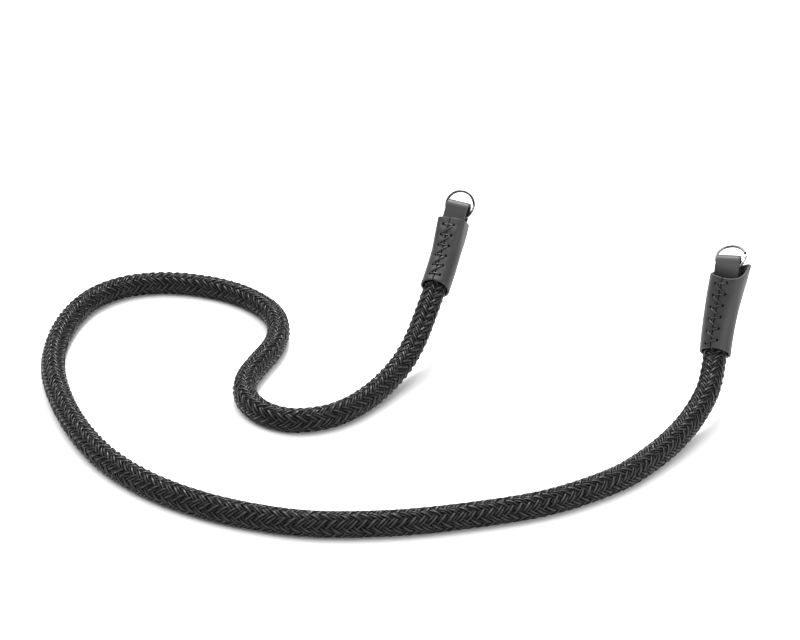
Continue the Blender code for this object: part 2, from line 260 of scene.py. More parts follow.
class StrapColours(bpy.types.PropertyGroup):
    yarn: bpy.props.FloatVectorProperty(
        name="Yarn", description="Colour of the rope's yarn", subtype="COLOR",
        default=(0.0042, 0.0042, 0.0044))
    leather: bpy.props.FloatVectorProperty(
        name="Leather", description="Colour of the leather's face", subtype="COLOR",
        default=(0.0125, 0.0125, 0.013))
    cut_edge: bpy.props.FloatVectorProperty(
        name="Cut Edge", description="Colour of the leather's cut edges", subtype="COLOR",
        default=(0.045, 0.044, 0.043))
    thread: bpy.props.FloatVectorProperty(
        name="Thread", description="Colour of the waxed thread", subtype="COLOR",
        default=(0.004, 0.004, 0.0042))
    steel: bpy.props.FloatVectorProperty(
        name="Steel", description="Colour of the split rings", subtype="COLOR",
        default=(0.15, 0.15, 0.155))


def sizes():
    return bpy.context.scene.strap_sizes


def colours():
    return bpy.context.scene.strap_colours


def ease(share):
    share = min(1.0, max(0.0, share))
    return share * share * (3 - 2 * share)


def end_pose(end):
    """Where one end hangs: +X across the loop, +Y to its back, +Z up out of the sleeve's mouth."""
    return (
        Matrix.Translation(end["mouth"])
        @ Matrix.Rotation(math.radians(end["facing"]), 4, "Z")
        @ Matrix.Rotation(math.radians(-end["lean"]), 4, "X")
        @ Matrix.Rotation(math.radians(end["side_lean"]), 4, "Y")
    )


def place_in_end(end, down, across=0.0, back=0.0):
    """A point of the end's own frame, at a distance down the sleeve's bent centre line from its mouth."""
    bend_radius = SLEEVE_L / SLEEVE_BEND
    angle = max(0.0, down) / bend_radius
    side = math.radians(end["bend_side"])
    outward = Vector((math.sin(side), -math.cos(side), 0.0))
    sideways = Vector((math.cos(side), math.sin(side), 0.0))
    offset = Vector((across, back, 0.0))
    reach = offset.dot(outward)
    drop = bend_radius * math.sin(angle) - reach * math.sin(angle) - max(0.0, -down)
    out = bend_radius * (1 - math.cos(angle)) + reach * math.cos(angle)
    return outward * out + sideways * offset.dot(sideways) - Vector((0.0, 0.0, drop))


def place_in_loop(end, down, across=0.0, back=0.0):
    """A point of the end's own frame on the loop, whose line turns and leans as it rises out of the mouth."""
    full_turn = math.radians(end["loop_turn"])
    climbed = min(TAB_LEG, TAB_LEG - down)
    above = max(0.0, -down)
    turn = full_turn * climbed / TAB_LEG
    left = climbed * math.sin(turn / 2) + above * math.sin(full_turn) - across * math.cos(turn)
    up = climbed * math.cos(turn / 2) + above * math.cos(full_turn) + across * math.sin(turn)
    full_lean = math.radians(end["loop_lean"])
    bent = min(TAB_BEND_L, max(0.0, up - TAB_LEG))
    beyond = max(0.0, up - TAB_LEG - TAB_BEND_L)
    lean = full_lean * bent / TAB_BEND_L
    rise = bent * math.cos(lean / 2) + beyond * math.cos(full_lean) - back * math.sin(lean)
    behind = bent * math.sin(lean / 2) + beyond * math.sin(full_lean) + back * math.cos(lean)
    return place_in_end(end, TAB_LEG - min(up, TAB_LEG) - rise, -left, behind)


def mouth_half_size(end):
    """Half the mouth's width, with room beside the loop, and half its depth, with room for its corners."""
    swept = TAB_W / 2 + TAB_LEG * math.sin(math.radians(abs(end["loop_turn"])) / 2)
    half_bore = swept + end["side_room"]
    corner = (swept + CLEAR) / (half_bore + CLEAR)
    room = (1 - corner ** end["squareness"]) ** (1 / end["squareness"])
    set_back = TAB_BEND_L * math.sin(math.radians(end["loop_lean"]) / 2)
    return half_bore + SLEEVE_WALL, (TAB_HALF_DEPTH + set_back + CLEAR) / room + SLEEVE_WALL


def sleeve_section(end, down):
    """Half width, half depth and squareness of the sleeve's outside at a distance below its mouth."""
    width_share = (ease(down / SLEEVE_L) + 2 * min(1.0, max(0.0, down / SLEEVE_L))) / 3
    mouth_width, mouth_depth = mouth_half_size(end)
    half_width = mouth_width + (SLEEVE_R - mouth_width) * width_share
    half_depth = mouth_depth + (SLEEVE_R - mouth_depth) * ease(down / NECKING_L)
    squareness = end["squareness"] + (2.0 - end["squareness"]) * ease(down / SQUARE_L)
    return half_width, half_depth, squareness


def section_point(half_width, half_depth, squareness, angle):
    """A point on the sleeve's rounded section, at an angle from its front towards the right."""
    across, front = math.sin(angle), math.cos(angle)
    corner = abs(across / half_width) ** squareness + abs(front / half_depth) ** squareness
    reach = corner ** (-1 / squareness)
    return across * reach, -front * reach


def rim_at(end, angle):
    """How far the rim lies below the mouth's middle at an angle round the sleeve, negative where it rises."""
    near = 0.5 + 0.5 * math.cos(angle - math.radians(end["rim_high"]))
    return -end["rim_rise"] * near**RIM_SHARPNESS


def hem_at(end, angle):
    """How far below the middle of the mouth the hem lies, drawn up where the seam pulls it."""
    return SLEEVE_L - end["hem_dip"] * (0.5 + 0.5 * math.cos(angle - math.radians(end["seam"])))


def angle_beside_seam(end, down, reach):
    """The angle round the sleeve at a distance from its seam, measured along the leather."""
    section = sleeve_section(end, down)
    angle = math.radians(end["seam"])
    spot = Vector(section_point(*section, angle))
    left = abs(reach)
    while left > 0.0:
        angle += math.copysign(math.radians(1), reach)
        after = Vector(section_point(*section, angle))
        left -= (after - spot).length
        spot = after
    return angle


def on_sleeve(end, down, angle, out=0.0):
    """A point in the world on the sleeve's outer face, or a little out from it."""
    half_width, half_depth, squareness = sleeve_section(end, down)
    spot = section_point(half_width + out, half_depth + out, squareness, angle)
    return end_pose(end) @ place_in_end(end, down, *spot)


def hole_places(end):
    """Each hole's distance below the mouth and its angle, as rows of (left, right) pairs."""
    rows = []
    for pair in range(HOLE_PAIRS):
        row = []
        for hand in (-1, 1):
            down = end["first_hole"] + pair * HOLE_PITCH - hand * end["skew"] / 2
            row.append((down, angle_beside_seam(end, down, hand * HOLE_SPREAD / 2)))
        rows.append(row)
    return rows


def smooth_line(points, per_span):
    """A centripetal Catmull-Rom curve through the points."""
    first = points[0] * 2 - points[1]
    last = points[-1] * 2 - points[-2]
    chain = [first, *points, last]
    line = []
    for a, b, c, d in zip(chain, chain[1:], chain[2:], chain[3:]):
        t1 = math.sqrt((b - a).length)
        t2 = t1 + math.sqrt((c - b).length)
        t3 = t2 + math.sqrt((d - c).length)
        for i in range(per_span):
            t = t1 + (t2 - t1) * i / per_span
            ab = a.lerp(b, t / t1)
            bc = b.lerp(c, (t - t1) / (t2 - t1))
            cd = c.lerp(d, (t - t2) / (t3 - t2))
            abc = ab.lerp(bc, t / t2)
            bcd = bc.lerp(cd, (t - t1) / (t3 - t1))
            line.append(abc.lerp(bcd, (t - t1) / (t2 - t1)))
    return line + [points[-1]]


def rope_line():
    """The rope's centre line: down the left sleeve, along the route and up the right sleeve."""
    steps = 8
    downs = [NECKING_L + (SLEEVE_L - NECKING_L) * i / steps for i in range(steps + 1)]
    inside = {}
    for side, end in ENDS.items():
        inside[side] = [end_pose(end) @ place_in_end(end, down) for down in downs]
    route = [Vector((x, y, ROPE_REST + lift)) for x, y, lift in ROPE_ROUTE]
    per_span = 6
    return smooth_line(inside["left"] + route + inside["right"][::-1], per_span)


def link_mesh(name, mesh):
    obj = bpy.data.objects.new(name, mesh)
    bpy.context.scene.collection.objects.link(obj)
    return obj


def line_mesh(name, lines):
    """An object whose mesh is only edges, one chain for each line."""
    verts, edges = [], []
    for line in lines:
        start = len(verts)
        verts += [tuple(point) for point in line]
        edges += [(start + i, start + i + 1) for i in range(len(line) - 1)]
    mesh = bpy.data.meshes.new(name)
    mesh.from_pydata(verts, edges, [])
    return link_mesh(name, mesh)


def plain_mesh(obj):
    """Turns what the object's modifiers make into its own mesh, and removes them."""
    graph = bpy.context.evaluated_depsgraph_get()
    mesh = bpy.data.meshes.new_from_object(
        obj.evaluated_get(graph), preserve_all_data_layers=True, depsgraph=graph)
    obj.modifiers.clear()
    old = obj.data
    obj.data = mesh
    mesh.name = obj.name
    bpy.data.meshes.remove(old)
    if not mesh.polygons:
        raise RuntimeError(obj.name + " came out empty")
    return obj


def finished_piece(name, mesh_data, finish):
    """An object from a bmesh, its faces turned outwards, in one finish."""
    bmesh.ops.recalc_face_normals(mesh_data, faces=mesh_data.faces)
    mesh = bpy.data.meshes.new(name)
    mesh_data.to_mesh(mesh)
    mesh_data.free()
    mesh.materials.append(finish_named(finish))
    return link_mesh(name, mesh)


def smooth_but_for_edges(obj, sharpest):
    obj.data.shade_smooth()
    obj.data.set_sharp_from_angle(angle=sharpest)


def close_tube(mesh_data, rings):
    """Skins a row of rings of points, and caps both ends."""
    count = len(rings[0])
    for low, high in zip(rings, rings[1:]):
        for j in range(count):
            k = (j + 1) % count
            mesh_data.faces.new((low[j], low[k], high[k], high[j]))
    mesh_data.faces.new(rings[0][::-1])
    mesh_data.faces.new(rings[-1])


def dress(obj, slot, *nodes):
    """The piece rides on the strap and stands for its plain solids, which are hidden. The slot is not used.
    """
    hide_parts(*nodes)
    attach(obj, BODY)


def add_node(tree, kind, settings=None, inputs=None):
    """A node with its settings, its inputs linked where they are sockets and set where they are values."""
    node = tree.nodes.new(kind)
    for name, value in (settings or {}).items():
        setattr(node, name, value)
    for key, value in (inputs or {}).items():
        if isinstance(value, bpy.types.NodeSocket):
            tree.links.new(value, node.inputs[key])
        else:
            node.inputs[key].default_value = value
    return node


def calc(tree, operation, *values):
    node = add_node(tree, "ShaderNodeMath", {"operation": operation}, dict(enumerate(values)))
    return node.outputs[0]


def vector_calc(tree, operation, *values):
    node = add_node(tree, "ShaderNodeVectorMath", {"operation": operation}, dict(enumerate(values)))
    return node.outputs["Value"] if operation == "DOT_PRODUCT" else node.outputs["Vector"]


def scaled(tree, vector, factor):
    node = add_node(tree, "ShaderNodeVectorMath", {"operation": "SCALE"}, {0: vector, "Scale": factor})
    return node.outputs[0]


def new_shape_tree(name, floats, counts=()):
    """A Geometry Nodes tree with named inputs, and its first and last nodes."""
    tree = bpy.data.node_groups.new(name, "GeometryNodeTree")
    tree.interface.new_socket("Geometry", in_out="INPUT", socket_type="NodeSocketGeometry")
    for label in floats:
        tree.interface.new_socket(label, in_out="INPUT", socket_type="NodeSocketFloat")
    for label in counts:
        tree.interface.new_socket(label, in_out="INPUT", socket_type="NodeSocketInt")
    tree.interface.new_socket("Geometry", in_out="OUTPUT", socket_type="NodeSocketGeometry")
    return tree, tree.nodes.new("NodeGroupInput"), tree.nodes.new("NodeGroupOutput")


def close_shape_tree(tree, group_out, geometry, finish):
    """Ends a tree in smooth shading, real geometry and its material."""
    smooth = add_node(tree, "GeometryNodeSetShadeSmooth", None, {"Geometry": geometry})
    real = add_node(tree, "GeometryNodeRealizeInstances", None, {"Geometry": smooth.outputs[0]})
    coat = add_node(tree, "GeometryNodeSetMaterial", None, {"Geometry": real.outputs[0], "Material": finish})
    tree.links.new(coat.outputs[0], group_out.inputs[0])


def apply_shape_tree(obj, tree, values):
    """Puts the tree on the object with its named values, and makes the result a plain mesh."""
    shape = obj.modifiers.new(tree.name, "NODES")
    shape.node_group = tree
    for item in tree.interface.items_tree:
        if item.in_out == "INPUT" and item.name in values:
            shape[item.identifier] = values[item.name]
    return plain_mesh(obj)


def store(tree, geometry, name, value, kind="FLOAT"):
    """Keeps a value on the points of the geometry under a name."""
    node = add_node(tree, "GeometryNodeStoreNamedAttribute", {"data_type": kind, "domain": "POINT"},
                    {"Geometry": geometry, "Name": name, "Value": value})
    return node.outputs["Geometry"]


def stored(tree, name, kind="FLOAT"):
    """The value that the geometry keeps under a name."""
    return add_node(tree, "GeometryNodeInputNamedAttribute", {"data_type": kind}, {"Name": name}).outputs[0]


def strand_profile(tree, half_thickness, half_width, corners):
    """A flat oval outline whose points know how far round it they are, its first point on the inner side."""
    circle = add_node(tree, "GeometryNodeCurvePrimitiveCircle", {"mode": "RADIUS"},
                      {"Resolution": corners, "Radius": 1.0})
    index = add_node(tree, "GeometryNodeInputIndex").outputs[0]
    marked = store(tree, circle.outputs["Curve"], "around", calc(tree, "DIVIDE", index, corners))
    spot = add_node(tree, "GeometryNodeInputPosition").outputs[0]
    size = add_node(tree, "ShaderNodeCombineXYZ", None, {
        "X": calc(tree, "MULTIPLY", half_thickness, -1.0),
        "Y": calc(tree, "MULTIPLY", half_width, -1.0),
    })
    shaped = add_node(tree, "GeometryNodeSetPosition", None, {
        "Geometry": marked, "Position": vector_calc(tree, "MULTIPLY", spot, size.outputs[0])})
    return shaped.outputs[0]


def strand_copies(tree, inputs, hand):
    """Straight strands for one hand, whose points know their share of the length and their number."""
    straight = add_node(tree, "GeometryNodeCurvePrimitiveLine")
    fine = add_node(tree, "GeometryNodeResampleCurve", None,
                    {"Curve": straight.outputs[0], "Count": inputs["Steps"]})
    share = add_node(tree, "GeometryNodeSplineParameter").outputs["Factor"]
    marked = store(tree, fine.outputs[0], "share", share)
    copies = add_node(tree, "GeometryNodeDuplicateElements", {"domain": "SPLINE"},
                      {"Geometry": marked, "Amount": inputs["Strands Each Way"]})
    number = calc(tree, "ADD", copies.outputs["Duplicate Index"], NUMBER_OFFSET * hand)
    return store(tree, copies.outputs["Geometry"], "number", number)


def braid_hand(tree, line, length, inputs, hand):
    """All the strands that wind one way round the rope, over two and under two of the others."""
    strands = strand_copies(tree, inputs, hand)
    share = stored(tree, "share")
    along = calc(tree, "MULTIPLY", share, length)
    turns = calc(tree, "DIVIDE", along, inputs["Braid Lead"])
    first = calc(tree, "DIVIDE", calc(tree, "SUBTRACT", stored(tree, "number"), NUMBER_OFFSET * hand),
                 inputs["Strands Each Way"])
    wound = calc(tree, "ADD", first, calc(tree, "MULTIPLY", turns, float(hand)))
    angle = calc(tree, "MULTIPLY", wound, 2 * math.pi)
    beats = calc(tree, "MULTIPLY", angle, calc(tree, "DIVIDE", inputs["Strands Each Way"], 2.0))
    wave = calc(tree, "COSINE", calc(tree, "SUBTRACT", beats, math.pi / 4))
    swell = calc(tree, "MULTIPLY", calc(tree, "MULTIPLY", inputs["Braid Swell"], float(hand)), wave)
    radius = calc(tree, "ADD", inputs["Strand Ring Radius"], swell)

    sample = add_node(tree, "GeometryNodeSampleCurve", {"mode": "FACTOR"}, {"Curves": line, "Factor": share})
    normal, tangent = sample.outputs["Normal"], sample.outputs["Tangent"]
    binormal = vector_calc(tree, "CROSS_PRODUCT", tangent, normal)
    radial = vector_calc(tree, "ADD", scaled(tree, normal, calc(tree, "COSINE", angle)),
                         scaled(tree, binormal, calc(tree, "SINE", angle)))
    spot = vector_calc(tree, "ADD", sample.outputs["Position"], scaled(tree, radial, radius))
    strands = store(tree, strands, "along", along)
    # How high the strand rides where it crosses the others; the yarn finish paints shade on it where it dips
    # under them
    strands = store(tree, strands, "rise", calc(tree, "MULTIPLY_ADD", wave, 0.5 * hand, 0.5))
    strands = store(tree, strands, "radial", radial, "FLOAT_VECTOR")
    placed = add_node(tree, "GeometryNodeSetPosition", None, {"Geometry": strands, "Position": spot})

    outward = stored(tree, "radial", "FLOAT_VECTOR")
    way = add_node(tree, "GeometryNodeInputTangent").outputs[0]
    lengthwise = scaled(tree, way, vector_calc(tree, "DOT_PRODUCT", outward, way))
    square = vector_calc(tree, "NORMALIZE", vector_calc(tree, "SUBTRACT", outward, lengthwise))
    facing = add_node(tree, "GeometryNodeSetCurveNormal", {"mode": "FREE"},
                      {"Curve": placed.outputs[0], "Normal": square})
    profile = strand_profile(tree, inputs["Half Thickness"], inputs["Half Width"], inputs["Corners"])
    tube = add_node(tree, "GeometryNodeCurveToMesh", None,
                    {"Curve": facing.outputs[0], "Profile Curve": profile, "Fill Caps": True})
    return tube.outputs[0]


def make_braid_tree(finish):
    """Strands that wind both ways round the line over a core, dark with the painted shade that the yarn
    finish gives its hollows.
    """
    tree, group_in, group_out = new_shape_tree(
        "Round Braid",
        ("Braid Lead", "Braid Swell", "Strand Ring Radius", "Half Thickness", "Half Width", "Core Radius"),
        ("Strands Each Way", "Steps", "Corners"),
    )
    inputs = {socket.name: socket for socket in group_in.outputs}
    line = add_node(tree, "GeometryNodeMeshToCurve", None, {"Mesh": inputs["Geometry"]}).outputs[0]
    length = add_node(tree, "GeometryNodeCurveLength", None, {"Curve": line}).outputs[0]
    hands = [braid_hand(tree, line, length, inputs, hand) for hand in (1, -1)]
    ring = add_node(tree, "GeometryNodeCurvePrimitiveCircle", {"mode": "RADIUS"},
                    {"Resolution": CORE_CORNERS, "Radius": inputs["Core Radius"]})
    core = add_node(tree, "GeometryNodeCurveToMesh", None,
                    {"Curve": line, "Profile Curve": ring.outputs[0], "Fill Caps": True})
    join = tree.nodes.new("GeometryNodeJoinGeometry")
    for part in (*hands, core.outputs[0]):
        tree.links.new(part, join.inputs[0])
    close_shape_tree(tree, group_out, join.outputs[0], finish)
    return tree


def make_thread_tree(finish):
    """A round thread along each line."""
    tree, group_in, group_out = new_shape_tree("Lacing Thread", ("Thread Radius",), ("Corners",))
    inputs = {socket.name: socket for socket in group_in.outputs}
    line = add_node(tree, "GeometryNodeMeshToCurve", None, {"Mesh": inputs["Geometry"]}).outputs[0]
    line = store(tree, line, "along", add_node(tree, "GeometryNodeSplineParameter").outputs["Length"])
    profile = strand_profile(tree, inputs["Thread Radius"], inputs["Thread Radius"], inputs["Corners"])
    tube = add_node(tree, "GeometryNodeCurveToMesh", None,
                    {"Curve": line, "Profile Curve": profile, "Fill Caps": True})
    close_shape_tree(tree, group_out, tube.outputs[0], finish)
    return tree


def new_material(name):
    """A material, its tree and its Principled shader."""
    made = bpy.data.materials.new(name)
    made.use_nodes = True
    tree = made.node_tree
    return made, tree, tree.nodes["Principled BSDF"]


def new_effect(name, floats, vectors=(), outputs=("Height", "Tone")):
    """A shader node group with named values, and its first and last nodes."""
    tree = bpy.data.node_groups.new(name, "ShaderNodeTree")
    for label in vectors:
        tree.interface.new_socket(label, in_out="INPUT", socket_type="NodeSocketVector")
    for label in floats:
        tree.interface.new_socket(label, in_out="INPUT", socket_type="NodeSocketFloat")
    for label in outputs:
        tree.interface.new_socket(label, in_out="OUTPUT", socket_type="NodeSocketFloat")
    return tree, tree.nodes.new("NodeGroupInput"), tree.nodes.new("NodeGroupOutput")


def place_effect(tree, effect, inputs):
    return add_node(tree, "ShaderNodeGroup", {"node_tree": effect}, inputs)


def make_yarn_effect():
    """Yarns laid side by side round a strand, each with fine fibres along it."""
    tree, group_in, group_out = new_effect("Yarn Fibres", ("Around", "Along", "Number", "Yarns", "Lay"))
    inputs = {socket.name: socket for socket in group_in.outputs}
    turned = calc(tree, "ADD", calc(tree, "MULTIPLY", inputs["Around"], inputs["Yarns"]),
                  calc(tree, "MULTIPLY", inputs["Along"], inputs["Lay"]))
    round_top = calc(tree, "ABSOLUTE", calc(tree, "SINE", calc(tree, "MULTIPLY", turned, math.pi)))
    across_scale, along_scale, strand_shift = 4.0, 250.0, 7.3
    spot = add_node(tree, "ShaderNodeCombineXYZ", None, {
        "X": calc(tree, "MULTIPLY", turned, across_scale),
        "Y": calc(tree, "MULTIPLY", inputs["Along"], along_scale),
        "Z": calc(tree, "MULTIPLY", inputs["Number"], strand_shift),
    })
    fibres = add_node(tree, "ShaderNodeTexNoise", None,
                      {"Vector": spot.outputs[0], "Scale": 1.0, "Detail": 3.0}).outputs[0]
    lobe = calc(tree, "POWER", round_top, 0.6)
    height = calc(tree, "ADD", calc(tree, "MULTIPLY", lobe, 0.8), calc(tree, "MULTIPLY", fibres, 0.35))
    tree.links.new(height, group_out.inputs["Height"])
    streaks = calc(tree, "ADD", 0.25, calc(tree, "MULTIPLY", fibres, 1.4))
    # Painted light: the tone is lighter on each yarn's crown and darker in the hollows between yarns, times
    # random fibre streaks
    streaks_and_painted_light = calc(tree, "MULTIPLY", calc(tree, "POWER", round_top, 1.5), streaks)
    tree.links.new(streaks_and_painted_light, group_out.inputs["Tone"])
    return tree


def make_speckle_effect():
    """Cells and clouds on a surface, for leather grain and for fine handling marks on metal."""
    tree, group_in, group_out = new_effect(
        "Grain And Marks", ("Cell Scale", "Cloud Scale"), vectors=("Vector",))
    inputs = {socket.name: socket for socket in group_in.outputs}
    cells = add_node(tree, "ShaderNodeTexVoronoi", {"feature": "F1"},
                     {"Vector": inputs["Vector"], "Scale": inputs["Cell Scale"]}).outputs["Distance"]
    rough = add_node(tree, "ShaderNodeTexNoise", None,
                     {"Vector": inputs["Vector"], "Scale": inputs["Cell Scale"], "Detail": 4.0}).outputs[0]
    clouds = add_node(tree, "ShaderNodeTexNoise", None,
                      {"Vector": inputs["Vector"], "Scale": inputs["Cloud Scale"], "Detail": 3.0}).outputs[0]
    height = calc(tree, "ADD", calc(tree, "MULTIPLY", cells, 0.6), calc(tree, "MULTIPLY", rough, 0.5))
    tree.links.new(height, group_out.inputs["Height"])
    tree.links.new(clouds, group_out.inputs["Tone"])
    return tree


def mix_colour(tree, share, low, high):
    node = add_node(tree, "ShaderNodeMix", {"data_type": "RGBA"}, {"Factor": share})
    for key, colour in (("A", low), ("B", high)):
        socket = [each for each in node.inputs if each.name == key and each.type == "RGBA"][0]
        if isinstance(colour, bpy.types.NodeSocket):
            tree.links.new(colour, socket)
        else:
            socket.default_value = (*colour, 1.0)
    return [each for each in node.outputs if each.type == "RGBA"][0]


def attribute(tree, name):
    return add_node(tree, "ShaderNodeAttribute", {"attribute_name": name}).outputs["Fac"]


def bump(tree, height, strength, distance):
    return add_node(tree, "ShaderNodeBump", None, {
        "Height": height, "Strength": strength, "Distance": distance}).outputs[0]


def span(tree, value, low, high):
    """A share from 0 to 1, spread between two values."""
    return add_node(tree, "ShaderNodeMapRange", None, {
        "Value": value, "To Min": low, "To Max": high}).outputs[0]


def shaded(tree, share, colour, shades):
    """A colour that goes from its darker to its lighter shade."""
    darker, lighter = (tuple(part * shade for part in colour) for shade in shades)
    return mix_colour(tree, share, darker, lighter)


def make_yarn_material(effect):
    made, tree, shader = new_material("braided_yarn")
    yarn = place_effect(tree, effect, {
        "Around": attribute(tree, "around"), "Along": attribute(tree, "along"),
        "Number": attribute(tree, "number"), "Yarns": STRAND_YARNS, "Lay": STRAND_LAY})
    # Painted shade where a strand dips under the strands that cross it, on top of the painted crowns and
    # hollows
    streaks_and_painted_light = calc(tree, "MULTIPLY", yarn.outputs["Tone"], span(tree, attribute(tree, "rise"), 0.15, 1.0))
    tree.links.new(shaded(tree, streaks_and_painted_light, colours().yarn, YARN_HOLLOW_SHADE_CROWN_HIGHLIGHT), shader.inputs["Base Color"])
    tree.links.new(span(tree, streaks_and_painted_light, 0.50, 0.26), shader.inputs["Roughness"])
    tree.links.new(bump(tree, yarn.outputs["Height"], 1.0, 0.0006), shader.inputs["Normal"])
    tree.links.new(span(tree, streaks_and_painted_light, 0.0, 0.45), shader.inputs["Specular IOR Level"])
    return made


def make_leather_material(effect):
    made, tree, shader = new_material("strap_leather")
    place = add_node(tree, "ShaderNodeTexCoord").outputs["Object"]
    grain = place_effect(tree, effect, {
        "Vector": place, "Cell Scale": LEATHER_GRAIN, "Cloud Scale": LEATHER_CLOUDS})
    edge = attribute(tree, "cut_edge")
    face = shaded(tree, grain.outputs["Tone"], colours().leather, LEATHER_SHADES)
    tree.links.new(mix_colour(tree, edge, face, tuple(colours().cut_edge)), shader.inputs["Base Color"])
    rougher_edge = calc(tree, "MULTIPLY", edge, 0.2)
    rough = calc(tree, "ADD", span(tree, grain.outputs["Tone"], 0.46, 0.60), rougher_edge)
    tree.links.new(rough, shader.inputs["Roughness"])
    tree.links.new(bump(tree, grain.outputs["Height"], 0.35, 0.00012), shader.inputs["Normal"])
    shader.inputs["Specular IOR Level"].default_value = 0.5
    return made


def make_thread_material(effect):
    made, tree, shader = new_material("waxed_thread")
    yarn = place_effect(tree, effect, {
        "Around": attribute(tree, "around"), "Along": attribute(tree, "along"), "Number": 1.0,
        "Yarns": THREAD_YARNS, "Lay": THREAD_LAY})
    # Painted light: the thread is lighter on its yarns' crowns and darker in the hollows between them, with
    # random streaks
    shade = shaded(tree, yarn.outputs["Tone"], colours().thread, THREAD_HOLLOW_SHADE_CROWN_HIGHLIGHT)
    tree.links.new(shade, shader.inputs["Base Color"])
    tree.links.new(bump(tree, yarn.outputs["Height"], 0.6, 0.00015), shader.inputs["Normal"])
    shader.inputs["Roughness"].default_value = 0.34
    shader.inputs["Specular IOR Level"].default_value = 0.6
    return made


def make_steel_material(effect):
    made, tree, shader = new_material("polished_steel")
    place = add_node(tree, "ShaderNodeTexCoord").outputs["Object"]
    marks = place_effect(tree, effect, {
        "Vector": place, "Cell Scale": STEEL_MARKS, "Cloud Scale": STEEL_CLOUDS})
    shade = shaded(tree, marks.outputs["Tone"], colours().steel, STEEL_SHADES)
    tree.links.new(shade, shader.inputs["Base Color"])
    tree.links.new(span(tree, marks.outputs["Tone"], 0.10, 0.24), shader.inputs["Roughness"])
    tree.links.new(bump(tree, marks.outputs["Height"], 0.08, 0.00004), shader.inputs["Normal"])
    shader.inputs["Metallic"].default_value = 1.0
    return made


def make_floor_material():
    made, _, shader = new_material("pale_floor")
    shader.inputs["Base Color"].default_value = (FLOOR_SHADE, FLOOR_SHADE, FLOOR_SHADE, 1.0)
    shader.inputs["Roughness"].default_value = 0.9
    shader.inputs["Specular IOR Level"].default_value = 0.1
    return made


def finish_named(name):
    """A material of the strap, made on its first use."""
    if name not in bpy.data.materials:
        if "Yarn Fibres" not in bpy.data.node_groups:
            make_yarn_effect()
            make_speckle_effect()
        yarn, speckle = bpy.data.node_groups["Yarn Fibres"], bpy.data.node_groups["Grain And Marks"]
        makers = {
            "braided_yarn": (make_yarn_material, yarn),
            "waxed_thread": (make_thread_material, yarn),
            "strap_leather": (make_leather_material, speckle),
            "polished_steel": (make_steel_material, speckle),
        }
        maker, effect = makers[name]
        maker(effect)
    return bpy.data.materials[name]


def make_rope():
    """The braided rope, one mesh along the route."""
    line = rope_line()
    rope = line_mesh("braided_rope", [line])
    tree = make_braid_tree(finish_named("braided_yarn"))
    half_thickness = sizes().strand_thickness / 2
    ring_radius = ROPE_R + STRAND_PROUD - sizes().braid_swell - half_thickness
    apply_shape_tree(rope, tree, {
        "Braid Lead": sizes().braid_lead,
        "Braid Swell": sizes().braid_swell,
        "Strand Ring Radius": ring_radius,
        "Half Thickness": half_thickness,
        "Half Width": sizes().strand_width / 2,
        "Core Radius": ring_radius - CORE_OVERLAP * half_thickness,
        "Strands Each Way": STRANDS_EACH_WAY,
        "Steps": STRAND_POINTS,
        "Corners": STRAND_CORNERS,
    })
    dress(rope, "rope", "rope")


def wall_outline(steps, wall, edge_r):
    """A leather wall's outline as rows of (share of the length, distance off the end, inset, cut edge)."""
    arc_steps = 3
    arc = []
    for i in range(arc_steps + 1):
        turn = math.pi / 2 * i / arc_steps
        arc.append((edge_r * (1 - math.cos(turn)), edge_r * (1 - math.sin(turn)), 1.0 - i / arc_steps))
    face = [(0.0, off, inset, cut) for off, inset, cut in arc]
    face += [(i / steps, 0.0, 0.0, 0.0) for i in range(1, steps)]
    face += [(1.0, -off, inset, cut) for off, inset, cut in reversed(arc)]
    return face + [(share, off, wall - inset, cut) for share, off, inset, cut in reversed(face)]


def seam_steps(half_gap, edge_r, count):
    """Angles round the sleeve from one seam edge to the other, close together at the edges' rounding."""
    round_off = edge_r / SLEEVE_R
    rounding_shares = (0.0, 0.13, 0.5, 1.0)
    steps = [half_gap + round_off * share for share in rounding_shares]
    inner = [half_gap + round_off + (2 * math.pi - 2 * half_gap - 2 * round_off) * i / count
             for i in range(1, count)]
    return steps + inner + [2 * math.pi - step for step in reversed(steps)]


def seam_inset(angle_off, half_gap, edge_r):
    """How far the wall's faces draw in beside the seam, where its cut edge is rounded."""
    off = max(0.0, min(angle_off, 2 * math.pi - angle_off) - half_gap) * SLEEVE_R
    if off >= edge_r:
        return 0.0
    return edge_r - math.sqrt(max(0.0, edge_r * edge_r - (edge_r - off) ** 2))


def sleeve_column(end, angle, drawn, outline, holes):
    """One line round the leather's wall, over its face and back inside, as rows of (point, cut edge)."""
    pose = end_pose(end)
    rim, hem = rim_at(end, angle), hem_at(end, angle)
    rows = []
    for share, away, inset, cut in outline:
        down = rim + (hem - rim) * share + away
        half_width, half_depth, squareness = sleeve_section(end, down)
        inward = drawn + (inset - drawn * 2 * inset / SLEEVE_WALL)
        spot = pose @ place_in_end(end, down, *section_point(
            half_width - inward, half_depth - inward, squareness, angle))
        near = min((spot - hole).length for hole in holes)
        if near < 3 * PUCKER_REACH and inset < SLEEVE_WALL / 2:
            inward += sizes().pucker * math.exp(-((near / PUCKER_REACH) ** 2))
            spot = pose @ place_in_end(end, down, *section_point(
                half_width - inward, half_depth - inward, squareness, angle))
        rows.append((spot, max(cut, 1.0 if drawn > LEATHER_EDGE_R * 0.6 else 0.0)))
    return rows


